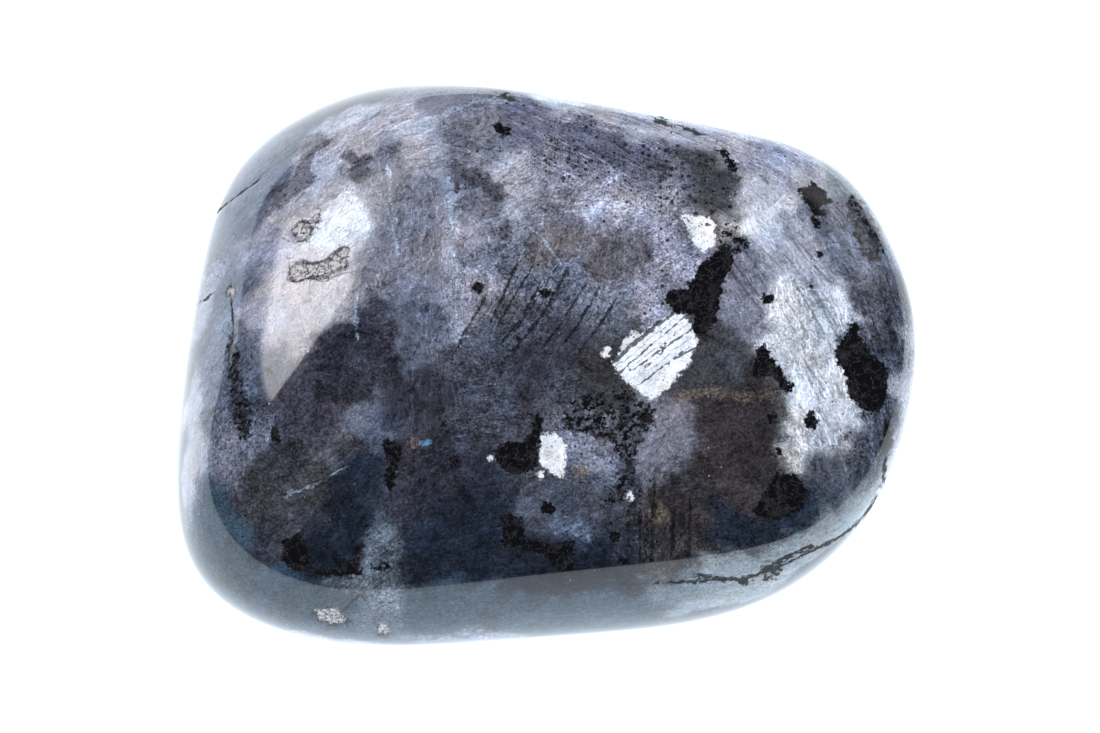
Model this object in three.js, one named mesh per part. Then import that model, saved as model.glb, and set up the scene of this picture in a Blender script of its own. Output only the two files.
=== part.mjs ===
// A tumbled and polished larvikite pebble, lying on the flat that is worn on its underside.
// Millimetres, +Z up. The origin is on the resting plane, under the middle of the stone's box.
// +X runs along the stone, -Y is the low front side and +Y the high back side.
import * as THREE from 'three';
import { mergeVertices } from 'three/addons/utils/BufferGeometryUtils.js';

// Driving dimensions
const LENGTH = 44; // along X
const WIDTH = 37.2; // along Y
const HEIGHT = 25.8; // along Z, as it lies
const MIDDLE_HEIGHT = 11.8; // the point that the worn faces are measured from, above the resting plane
const SHOULDER_HARDNESS = 12; // how tightly neighbouring faces meet: more is a sharper shoulder
const SURFACE_DETAIL = 20; // splits of each edge of the starting icosahedron

// The broad faces that tumbling wore on the stone. Azimuth 0 looks along +X and 90 along +Y,
// elevation is above the level, both in degrees, and reach is the face's distance from the middle.
const WORN_FACES = [
  { place: 'broad top', azimuth: -75, elevation: 77, reach: 12.2 },
  { place: 'shoulder, front', azimuth: -92, elevation: 48, reach: 15.8 },
  { place: 'shoulder, left', azimuth: 166, elevation: 58, reach: 17.2 },
  { place: 'left wall', azimuth: -179, elevation: 15, reach: 22.2 },
  { place: 'left wall, undercut', azimuth: 167, elevation: -9, reach: 22.7 },
  { place: 'left wall, low', azimuth: 176, elevation: -32, reach: 20.0 },
  { place: 'right wall', azimuth: -12, elevation: 1, reach: 23.3 },
  { place: 'right wall, undercut', azimuth: -24, elevation: -10, reach: 27.5 },
  { place: 'right wall, low', azimuth: 10, elevation: -30, reach: 20.6 },
  { place: 'back wall', azimuth: 78, elevation: 31, reach: 16.0 },
  { place: 'back wall, left of its middle', azimuth: 120, elevation: 29, reach: 20.8 },
  { place: 'back wall, low', azimuth: 82, elevation: 6, reach: 18.6 },
  { place: 'back wall, undercut', azimuth: 84, elevation: -16, reach: 18.6 },
  { place: 'back right corner', azimuth: 24, elevation: 18, reach: 22.3 },
  { place: 'back left corner', azimuth: 135, elevation: 24, reach: 26.4 },
  { place: 'front wall', azimuth: -84, elevation: 8, reach: 18.8 },
  { place: 'front wall, undercut', azimuth: -84, elevation: -32, reach: 16.7 },
  { place: 'front wall, left', azimuth: -127, elevation: 14, reach: 25.2 },
  { place: 'front wall, left, undercut', azimuth: -116, elevation: -28, reach: 21.7 },
  { place: 'front wall, right', azimuth: -38, elevation: 14, reach: 25.4 },
  { place: 'front left corner', azimuth: -157, elevation: -14, reach: 29.0 },
  { place: 'front right corner', azimuth: -48, elevation: -23, reach: 20.4 },
  { place: 'underside, back', azimuth: 84, elevation: -52, reach: 14.4 },
  { place: 'underside, right', azimuth: 14, elevation: -55, reach: 15.0 },
  { place: 'underside, left', azimuth: 168, elevation: -53, reach: 15.4 },
  { place: 'underside, middle', azimuth: -80, elevation: -86, reach: 12.0 },
];

// The low swells that harder and softer grains leave on the worn faces. Each is a wave over the
// directions from the middle: run is how many radians it turns along each axis, rise is its
// height as a share of the stone's radius there.
const SWELLS = [
  { run: [2.9, 1.3, -0.8], phase: 0.4, rise: 0.0045 },
  { run: [-1.1, 3.4, 1.9], phase: 2.1, rise: 0.004 },
  { run: [1.7, -2.2, 3.6], phase: 4.0, rise: 0.004 },
  { run: [4.6, 3.1, -2.7], phase: 1.2, rise: 0.0022 },
];

const POLISHED_STONE = new THREE.MeshStandardMaterial({
  color: 0x5d5f6c, // grey-lavender feldspar with its dark grains
  roughness: 0.12,
  metalness: 0,
});

function direction(azimuth, elevation) {
  const turn = THREE.MathUtils.degToRad(azimuth);
  const lift = THREE.MathUtils.degToRad(elevation);
  return new THREE.Vector3(
    Math.cos(turn) * Math.cos(lift),
    Math.sin(turn) * Math.cos(lift),
    Math.sin(lift),
  );
}

const FACE_NORMALS = WORN_FACES.map((face) => direction(face.azimuth, face.elevation));

// Distance from the middle to the soft planes: the power sum rounds each meeting of two faces.
function wornRadius(towards) {
  let sum = 0;
  WORN_FACES.forEach((face, index) => {
    const facing = Math.max(0, FACE_NORMALS[index].dot(towards));
    sum += (facing / face.reach) ** SHOULDER_HARDNESS;
  });
  return sum ** (-1 / SHOULDER_HARDNESS);
}

function swell(towards) {
  return SWELLS.reduce((total, wave) => {
    const along = wave.run[0] * towards.x + wave.run[1] * towards.y + wave.run[2] * towards.z;
    return total + wave.rise * Math.sin(along + wave.phase);
  }, 1);
}

// Brings the shape to its driving length, width and height, with the resting plane at z = 0.
function fitToSize(geometry) {
  geometry.computeBoundingBox();
  const box = geometry.boundingBox;
  const size = box.getSize(new THREE.Vector3());
  const middle = box.getCenter(new THREE.Vector3());
  geometry.translate(-middle.x, -middle.y, -box.min.z);
  geometry.scale(LENGTH / size.x, WIDTH / size.y, HEIGHT / size.z);
}

function stoneGeometry() {
  const ball = new THREE.IcosahedronGeometry(1, SURFACE_DETAIL);
  ball.deleteAttribute('normal');
  ball.deleteAttribute('uv');
  const geometry = mergeVertices(ball);
  const points = geometry.attributes.position;
  const towards = new THREE.Vector3();
  for (let index = 0; index < points.count; index += 1) {
    towards.fromBufferAttribute(points, index).normalize();
    const radius = wornRadius(towards) * swell(towards);
    const height = MIDDLE_HEIGHT + radius * towards.z;
    // What would reach below the resting plane is worn flat.
    points.setXYZ(index, radius * towards.x, radius * towards.y, Math.max(0, height));
  }
  fitToSize(geometry);
  geometry.computeVertexNormals();
  return geometry;
}

const stone = new THREE.Mesh(stoneGeometry(), POLISHED_STONE);
stone.name = 'larvikite_pebble';

const pebble = new THREE.Group();
pebble.add(stone);

export default pebble;
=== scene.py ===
"""A tumbled and polished larvikite pebble on a pale studio floor.

The stone's form is a Geometry Nodes tree: broad worn faces that meet in soft shoulders, low swells
and a worn flat. Its feldspar grains, dark minerals, pits and cracks are placed where the photograph
shows them, as fields on the mesh, and run on over the hidden sides from a fixed seed.
"""

import logging
import math
from dataclasses import dataclass, field
from enum import Enum

import bpy
import numpy as np
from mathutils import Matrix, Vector, noise


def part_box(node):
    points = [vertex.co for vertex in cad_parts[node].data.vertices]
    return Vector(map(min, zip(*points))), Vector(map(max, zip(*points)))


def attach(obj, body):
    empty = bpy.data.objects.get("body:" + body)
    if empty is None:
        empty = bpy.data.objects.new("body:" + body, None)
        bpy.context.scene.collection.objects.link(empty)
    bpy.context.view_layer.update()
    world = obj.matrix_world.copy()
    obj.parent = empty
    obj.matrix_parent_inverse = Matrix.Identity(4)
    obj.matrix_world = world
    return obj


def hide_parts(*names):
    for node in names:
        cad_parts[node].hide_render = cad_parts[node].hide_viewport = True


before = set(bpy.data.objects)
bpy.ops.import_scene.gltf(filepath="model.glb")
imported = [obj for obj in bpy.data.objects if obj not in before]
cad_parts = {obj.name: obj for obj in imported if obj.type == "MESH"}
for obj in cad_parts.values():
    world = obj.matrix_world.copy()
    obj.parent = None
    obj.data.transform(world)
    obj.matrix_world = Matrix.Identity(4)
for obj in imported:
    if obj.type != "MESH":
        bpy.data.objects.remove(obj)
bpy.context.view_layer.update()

LOG = logging.getLogger("larvikite")
MM = 0.001
NODE = "larvikite_pebble"
SLOT = "polished_larvikite"

Colour = tuple[float, float, float]
Pixel = tuple[float, float]
Outline = tuple[Pixel, ...]
Socket = bpy.types.NodeSocket
Value = Socket | float | tuple[float, ...]


def linear(colour: Colour) -> tuple[float, ...]:
    """Turns a display colour of 0 to 255 into linear values.

    Args:
        colour: red, green and blue as a screen shows them.

    Returns:
        The same colour in linear light, 0 to 1.
    """
    shares = (channel / 255.0 for channel in colour)
    return tuple(s / 12.92 if s <= 0.04045 else ((s + 0.055) / 1.055) ** 2.4 for s in shares)


def direction(azimuth: float, elevation: float) -> np.ndarray:
    """Unit vector for an azimuth (0 is +X, 90 is +Y) and an elevation, both in degrees."""
    turn, lift = math.radians(azimuth), math.radians(elevation)
    return np.array([math.cos(turn) * math.cos(lift), math.sin(turn) * math.cos(lift), math.sin(lift)])


def smooth(low: float, high: float, values: np.ndarray) -> np.ndarray:
    """Smooth step from 0 at low to 1 at high."""
    share = np.clip((values - low) / (high - low), 0.0, 1.0)
    return share * share * (3.0 - 2.0 * share)


# The body of the stone


@dataclass(frozen=True)
class WornFace:
    """A broad face that tumbling wore: where it looks (degrees) and how far out it lies (mm)."""

    place: str
    azimuth: float
    elevation: float
    reach: float


@dataclass(frozen=True)
class Swell:
    """A low wave over the worn faces: radians along each axis, phase, and rise as a share."""

    run: tuple[float, float, float]
    phase: float
    rise: float


WORN_FACES = (
    WornFace("broad top", -75, 77, 12.2),
    WornFace("shoulder, front", -92, 48, 15.8),
    WornFace("shoulder, left", 166, 58, 17.2),
    WornFace("left wall", -179, 15, 22.2),
    WornFace("left wall, undercut", 167, -9, 22.7),
    WornFace("left wall, low", 176, -32, 20.0),
    WornFace("right wall", -12, 1, 23.3),
    WornFace("right wall, undercut", -24, -10, 27.5),
    WornFace("right wall, low", 10, -30, 20.6),
    WornFace("back wall", 78, 31, 16.0),
    WornFace("back wall, left of its middle", 120, 29, 20.8),
    WornFace("back wall, low", 82, 6, 18.6),
    WornFace("back wall, undercut", 84, -16, 18.6),
    WornFace("back right corner", 24, 18, 22.3),
    WornFace("back left corner", 135, 24, 26.4),
    WornFace("front wall", -84, 8, 18.8),
    WornFace("front wall, undercut", -84, -32, 16.7),
    WornFace("front wall, left", -127, 14, 25.2),
    WornFace("front wall, left, undercut", -116, -28, 21.7),
    WornFace("front wall, right", -38, 14, 25.4),
    WornFace("front left corner", -157, -14, 29.0),
    WornFace("front right corner", -48, -23, 20.4),
    WornFace("underside, back", 84, -52, 14.4),
    WornFace("underside, right", 14, -55, 15.0),
    WornFace("underside, left", 168, -53, 15.4),
    WornFace("underside, middle", -80, -86, 12.0),
)

SWELLS = (
    Swell((2.9, 1.3, -0.8), 0.4, 0.0045),
    Swell((-1.1, 3.4, 1.9), 2.1, 0.004),
    Swell((1.7, -2.2, 3.6), 4.0, 0.004),
    Swell((4.6, 3.1, -2.7), 1.2, 0.0022),
)


@dataclass(frozen=True)
class Bench:
    """Adds and links nodes in one tree, for a form, a finish or a room."""

    tree: bpy.types.NodeTree

    def add(self, kind: str, **settings: object) -> bpy.types.Node:
        """Adds a node.

        Args:
            kind: the node's type.
            settings: the node's own properties.

        Returns:
            The node.
        """
        node = self.tree.nodes.new(kind)
        for name, value in settings.items():
            setattr(node, name, value)
        return node

    def feed(self, socket: Socket, value: Value | None) -> None:
        """Links a socket to another, or sets it to a plain value.

        Args:
            socket: the input to feed.
            value: a node's output, a plain value, or None to leave the input as it is.
        """
        if isinstance(value, bpy.types.NodeSocket):
            self.tree.links.new(value, socket)
        elif value is not None:
            socket.default_value = value

    def math(self, operation: str, *values: Value) -> Socket:
        """Adds one Math node.

        Args:
            operation: the Math node's operation.
            values: up to three sockets or numbers.

        Returns:
            The node's output.
        """
        node = self.add("ShaderNodeMath", operation=operation)
        for socket, value in zip(node.inputs, values):
            self.feed(socket, value)
        return node.outputs[0]

    def times(self, first: Value, second: Value) -> Socket:
        """The product of two values."""
        return self.math("MULTIPLY", first, second)

    def vector(self, operation: str, first: Value, second: Value | None = None,
               scale: Value | None = None) -> Socket:
        """Adds one Vector Math node.

        Args:
            operation: the Vector Math node's operation.
            first: a socket or a vector.
            second: the other one, for an operation on two.
            scale: the factor, for the operation SCALE.

        Returns:
            The node's vector, or its value for a dot product.
        """
        node = self.add("ShaderNodeVectorMath", operation=operation)
        self.feed(node.inputs[0], first)
        self.feed(node.inputs[1], second)
        if scale is not None:
            self.feed(node.inputs["Scale"], scale)
        return node.outputs["Value" if operation == "DOT_PRODUCT" else "Vector"]

    def split(self, vector: Value) -> tuple[Socket, ...]:
        """Takes a vector apart.

        Args:
            vector: the vector.

        Returns:
            Its three parts.
        """
        node = self.add("ShaderNodeSeparateXYZ")
        self.feed(node.inputs[0], vector)
        return tuple(node.outputs)

    def join(self, *parts: Value) -> Socket:
        """Puts a vector together.

        Args:
            parts: its three parts.

        Returns:
            The vector.
        """
        node = self.add("ShaderNodeCombineXYZ")
        for socket, part in zip(node.inputs, parts):
            self.feed(socket, part)
        return node.outputs[0]

    def step(self, value: Value, start: float, end: float) -> Socket:
        """Adds a smooth step.

        Args:
            value: what is stepped.
            start: where the step is 0, which may lie above its end.
            end: where the step is 1.

        Returns:
            The step, from 0 to 1.
        """
        node = self.add("ShaderNodeMapRange", interpolation_type="SMOOTHSTEP")
        self.feed(node.inputs["Value"], value)
        self.feed(node.inputs["From Min"], start)
        self.feed(node.inputs["From Max"], end)
        return node.outputs["Result"]


@dataclass
class PebbleForm:
    """The stone's form, worked out by a Geometry Nodes tree from its size and its worn faces."""

    size: tuple[float, float, float]
    middle_height: float = 11.8
    hardness: float = 12.0
    cells: int = 126
    faces: tuple[WornFace, ...] = WORN_FACES
    swells: tuple[Swell, ...] = SWELLS

    def _name_inputs(self, tree: bpy.types.GeometryNodeTree) -> None:
        """Gives the tree its named inputs and its output.

        Args:
            tree: the form's tree.
        """
        face = tree.interface
        face.new_socket("Geometry", in_out="INPUT", socket_type="NodeSocketGeometry")
        for name in ("Length", "Width", "Height", "Middle Height", "Shoulder Hardness"):
            face.new_socket(name, in_out="INPUT", socket_type="NodeSocketFloat")
        face.new_socket("Stone", in_out="INPUT", socket_type="NodeSocketMaterial")
        face.new_socket("Geometry", in_out="OUTPUT", socket_type="NodeSocketGeometry")

    def _towards(self, bench: Bench) -> Socket:
        """Directions of an even ball, from the points of a gridded cube.

        Args:
            bench: the form's nodes.

        Returns:
            Each point's direction from the middle.
        """
        cube_point = bench.add("GeometryNodeInputPosition").outputs[0]
        turns = bench.split(bench.vector("SCALE", cube_point, scale=math.pi / 4))
        return bench.vector("NORMALIZE", bench.join(*(bench.math("TANGENT", turn) for turn in turns)))

    def _radius(self, bench: Bench, towards: Socket, hardness: Socket) -> Socket:
        """Distance from the middle to the soft planes, with the swells on it.

        Args:
            bench: the form's nodes.
            towards: each point's direction.
            hardness: how tightly neighbouring faces meet.

        Returns:
            Each point's distance from the middle, in mm.
        """
        total: Value = 0.0
        for face in self.faces:
            normal = tuple(direction(face.azimuth, face.elevation))
            facing = bench.math("MAXIMUM", bench.vector("DOT_PRODUCT", towards, normal), 0.0)
            share = bench.math("POWER", bench.math("DIVIDE", facing, face.reach), hardness)
            total = bench.math("ADD", share, total)
        radius = bench.math("POWER", total, bench.math("DIVIDE", -1.0, hardness))
        rise: Value = 1.0
        for swell in self.swells:
            along = bench.math("ADD", bench.vector("DOT_PRODUCT", towards, swell.run), swell.phase)
            rise = bench.math("MULTIPLY_ADD", bench.math("SINE", along), swell.rise, rise)
        return bench.times(radius, rise)

    def _moved(self, bench: Bench, shape: Socket, places: Socket) -> Socket:
        """Moves a shape's points.

        Args:
            bench: the form's nodes.
            shape: the shape.
            places: where its points go.

        Returns:
            The moved shape.
        """
        node = bench.add("GeometryNodeSetPosition")
        bench.feed(node.inputs["Geometry"], shape)
        bench.feed(node.inputs["Position"], places)
        return node.outputs[0]

    def _fitted(self, bench: Bench, given: bpy.types.Node, shape: Socket) -> Socket:
        """Brings the shape to its length, width and height, standing on the level z = 0.

        Args:
            bench: the form's nodes.
            given: the tree's inputs.
            shape: the worn shape.

        Returns:
            The shape at its size.
        """
        box = bench.add("GeometryNodeBoundBox")
        bench.feed(box.inputs[0], shape)
        low, high = box.outputs["Min"], box.outputs["Max"]
        middle = bench.vector("SCALE", bench.vector("ADD", low, high), scale=0.5)
        size = bench.join(*(given.outputs[name] for name in ("Length", "Width", "Height")))
        stretch = bench.vector("DIVIDE", size, bench.vector("SUBTRACT", high, low))
        aside = bench.vector("SUBTRACT", bench.add("GeometryNodeInputPosition").outputs[0],
                             bench.vector("MULTIPLY", middle, (1, 1, 0)))
        return self._moved(bench, shape, bench.vector("MULTIPLY", aside, stretch))

    def tree(self) -> bpy.types.GeometryNodeTree:
        """Builds the tree that turns a gridded cube into the stone.

        Returns:
            The tree, with the stone's sizes as its named inputs.
        """
        tree = bpy.data.node_groups.new("Tumbled pebble", "GeometryNodeTree")
        self._name_inputs(tree)
        bench = Bench(tree)
        given = bench.add("NodeGroupInput")
        cube = bench.add("GeometryNodeMeshCube")
        cube.inputs["Size"].default_value = (2, 2, 2)
        for name in ("Vertices X", "Vertices Y", "Vertices Z"):
            cube.inputs[name].default_value = self.cells + 1
        towards = self._towards(bench)
        radius = self._radius(bench, towards, given.outputs["Shoulder Hardness"])
        along, across, up = bench.split(bench.vector("SCALE", towards, scale=radius))
        height = bench.math("MAXIMUM", bench.math("ADD", up, given.outputs["Middle Height"]), 0.0)
        worn = self._moved(bench, cube.outputs["Mesh"], bench.join(along, across, height))
        shade = bench.add("GeometryNodeSetShadeSmooth")
        bench.feed(shade.inputs["Geometry"], self._fitted(bench, given, worn))
        real = bench.add("GeometryNodeRealizeInstances")
        bench.feed(real.inputs[0], shade.outputs[0])
        finish = bench.add("GeometryNodeSetMaterial")
        bench.feed(finish.inputs["Geometry"], real.outputs[0])
        bench.feed(finish.inputs["Material"], given.outputs["Stone"])
        bench.feed(bench.add("NodeGroupOutput").inputs[0], finish.outputs[0])
        return tree

    def build(self, name: str, stone: bpy.types.Material) -> bpy.types.Object:
        """Runs the tree and keeps its result as a plain mesh.

        Args:
            name: the object's name.
            stone: the finish that the tree sets.

        Returns:
            The stone, in metres, with no modifier left.
        """
        piece = bpy.data.objects.new(name, bpy.data.meshes.new(name))
        bpy.context.scene.collection.objects.link(piece)
        modifier = piece.modifiers.new("Form", "NODES")
        modifier.node_group = self.tree()
        values = dict(zip(("Length", "Width", "Height"), self.size))
        values |= {"Middle Height": self.middle_height, "Shoulder Hardness": self.hardness, "Stone": stone}
        for item in modifier.node_group.interface.items_tree:
            if item.in_out == "INPUT" and item.name in values:
                modifier[item.identifier] = values[item.name]
        ready = piece.evaluated_get(bpy.context.evaluated_depsgraph_get())
        mesh = bpy.data.meshes.new_from_object(ready)
        piece.modifiers.remove(modifier)
        piece.data = mesh
        mesh.name = name
        return piece


# The photograph's view


@dataclass(frozen=True)
class PhotoView:
    """The photograph's camera: where it looks from, and which pixel a point of the stone falls on."""

    elevation: float = 60.0
    lens: float = 100.0
    sensor: float = 36.0
    distance: float = 187.0
    target: tuple[float, float, float] = (0.2, -0.2, 11.5)
    width: int = 1100
    height: int = 733

    @property
    def back(self) -> np.ndarray:
        """Unit vector from the target to the camera."""
        return direction(-90, self.elevation)

    @property
    def right(self) -> np.ndarray:
        """Unit vector to the right of the picture."""
        return np.array([1.0, 0.0, 0.0])

    @property
    def up(self) -> np.ndarray:
        """Unit vector to the top of the picture."""
        return np.cross(self.back, self.right)

    @property
    def place(self) -> np.ndarray:
        """The camera's place, in mm."""
        return np.array(self.target) + self.back * self.distance

    @property
    def pixels_per_mm(self) -> float:
        """Pixels that a millimetre covers at the target's distance."""
        return self.lens / self.sensor * self.width / self.distance

    def pixels(self, points: np.ndarray) -> np.ndarray:
        """Projects points.

        Args:
            points: places on the stone, in mm.

        Returns:
            Their pixels in the photograph's frame.
        """
        seen = points - self.place
        depth = -(seen @ self.back)
        scale = self.lens / self.sensor * self.width
        across = self.width / 2 + scale * (seen @ self.right) / depth
        down = self.height / 2 - scale * (seen @ self.up) / depth
        return np.column_stack([across, down])

    def facing(self, points: np.ndarray, normals: np.ndarray) -> np.ndarray:
        """How squarely each point faces the photograph's camera, 1 straight on and below 0 unseen."""
        away = self.place - points
        return (away * normals).sum(1) / np.linalg.norm(away, axis=1)

    def add_camera(self) -> None:
        """Adds the camera and makes it the scene's own."""
        data = bpy.data.cameras.new("photo_view")
        data.lens = self.lens
        data.sensor_width = self.sensor
        data.clip_start = 0.01
        camera = bpy.data.objects.new("photo_view", data)
        camera.location = Vector(self.place) * MM
        camera.rotation_euler = Vector(self.back).to_track_quat("Z", "Y").to_euler()
        bpy.context.scene.collection.objects.link(camera)
        bpy.context.scene.camera = camera


# What the stone is made of


class Feldspar(Enum):
    """The feldspar's colours, as a screen shows them in soft light. The three sheen colours are painted
    sheen: the schiller's flash and part of the polish's reflections, painted into the colour.
    """

    # painted sheen: these three colours stand for the schiller's flash and part of the polish's reflections
    PAINTED_BRIGHT_SHEEN = (248, 246, 252)
    PAINTED_WHITE_SHEEN = (216, 218, 229)
    PAINTED_PINK_SHEEN = (182, 177, 186)
    PALE_LAVENDER = (180, 178, 192)
    LAVENDER = (156, 154, 172)
    GREY_LAVENDER = (126, 126, 141)
    BLUE_GREY = (98, 104, 122)
    STEEL_BLUE = (108, 112, 128)
    SEA_GREY = (110, 117, 129)
    TEAL_SLATE = (66, 82, 97)
    RIM_GREY = (150, 156, 164)
    TAUPE = (116, 110, 117)
    BROWN_GREY = (90, 87, 94)
    BROWN_SLATE = (70, 69, 75)
    SLATE = (76, 79, 92)
    SMOKE = (56, 55, 66)
    BROWN_SMOKE = (54, 49, 52)
    PLUM = (108, 108, 127)
    PLUM_SMOKE = (74, 71, 84)
    BLUE_BLACK = (34, 40, 53)
    DEEP_BLUE = (50, 63, 79)
    BLACK_GLASS = (24, 26, 34)


@dataclass(frozen=True)
class Grain:
    """A feldspar grain: its colour, its middle as seen in the photograph, and its texture.

    slant is the way its fine lamellae run in the picture, in degrees from level, turning up.
    streak, mottle and specks are how strongly each shows, from 0 to 1.
    """

    place: str
    colour: Feldspar
    spots: Outline
    slant: float = 90.0
    streak: float = 0.4
    mottle: float = 0.5
    specks: float = 0.3
    spread: float = 0.0


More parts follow.
